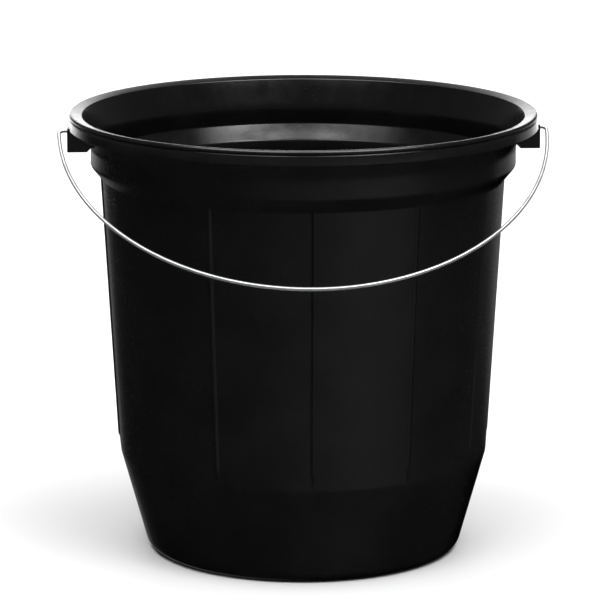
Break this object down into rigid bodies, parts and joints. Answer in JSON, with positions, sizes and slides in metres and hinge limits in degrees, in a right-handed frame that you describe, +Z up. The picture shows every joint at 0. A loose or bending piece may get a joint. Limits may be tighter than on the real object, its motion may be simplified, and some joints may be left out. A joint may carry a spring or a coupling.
{
  "type": "florist bucket",
  "caption": "Black moulded plastic bucket with a stepped rim, a stacking shoulder, upright wall ribs and a steel wire bail that swings in two ears under the rim.",
  "frame": {"origin": "centre of the bucket's foot, on the surface that it stands on", "axes": "+Z up along the bucket's axis; +X through the right ear, along the bail's pivot axis; -Y is the front, where the bail hangs"},
  "size_m": [0.314, 0.2998, 0.284],
  "materials": {
    "shell_plastic": "satin injection-moulded polypropylene, black",
    "bail_steel": "bright zinc-plated drawn wire"
  },
  "bodies": {
    "bucket": {"rim": "shell_plastic", "shoulder_band": "shell_plastic", "side_wall": "shell_plastic", "wall_ribs": "shell_plastic", "lower_wall": "shell_plastic", "foot_ring": "shell_plastic", "base_floor": "shell_plastic", "ear_left": "shell_plastic", "ear_right": "shell_plastic"},
    "bail": {"bail_wire": "bail_steel"}
  },
  "joints": [
    {"name": "bail_pivot", "type": "hinge", "parent": "bucket", "child": "bail", "pos_m": [0, 0, 0.2722], "axis": [-1, 0, 0], "range_deg": [-5.4, 243.8]}
  ]
}
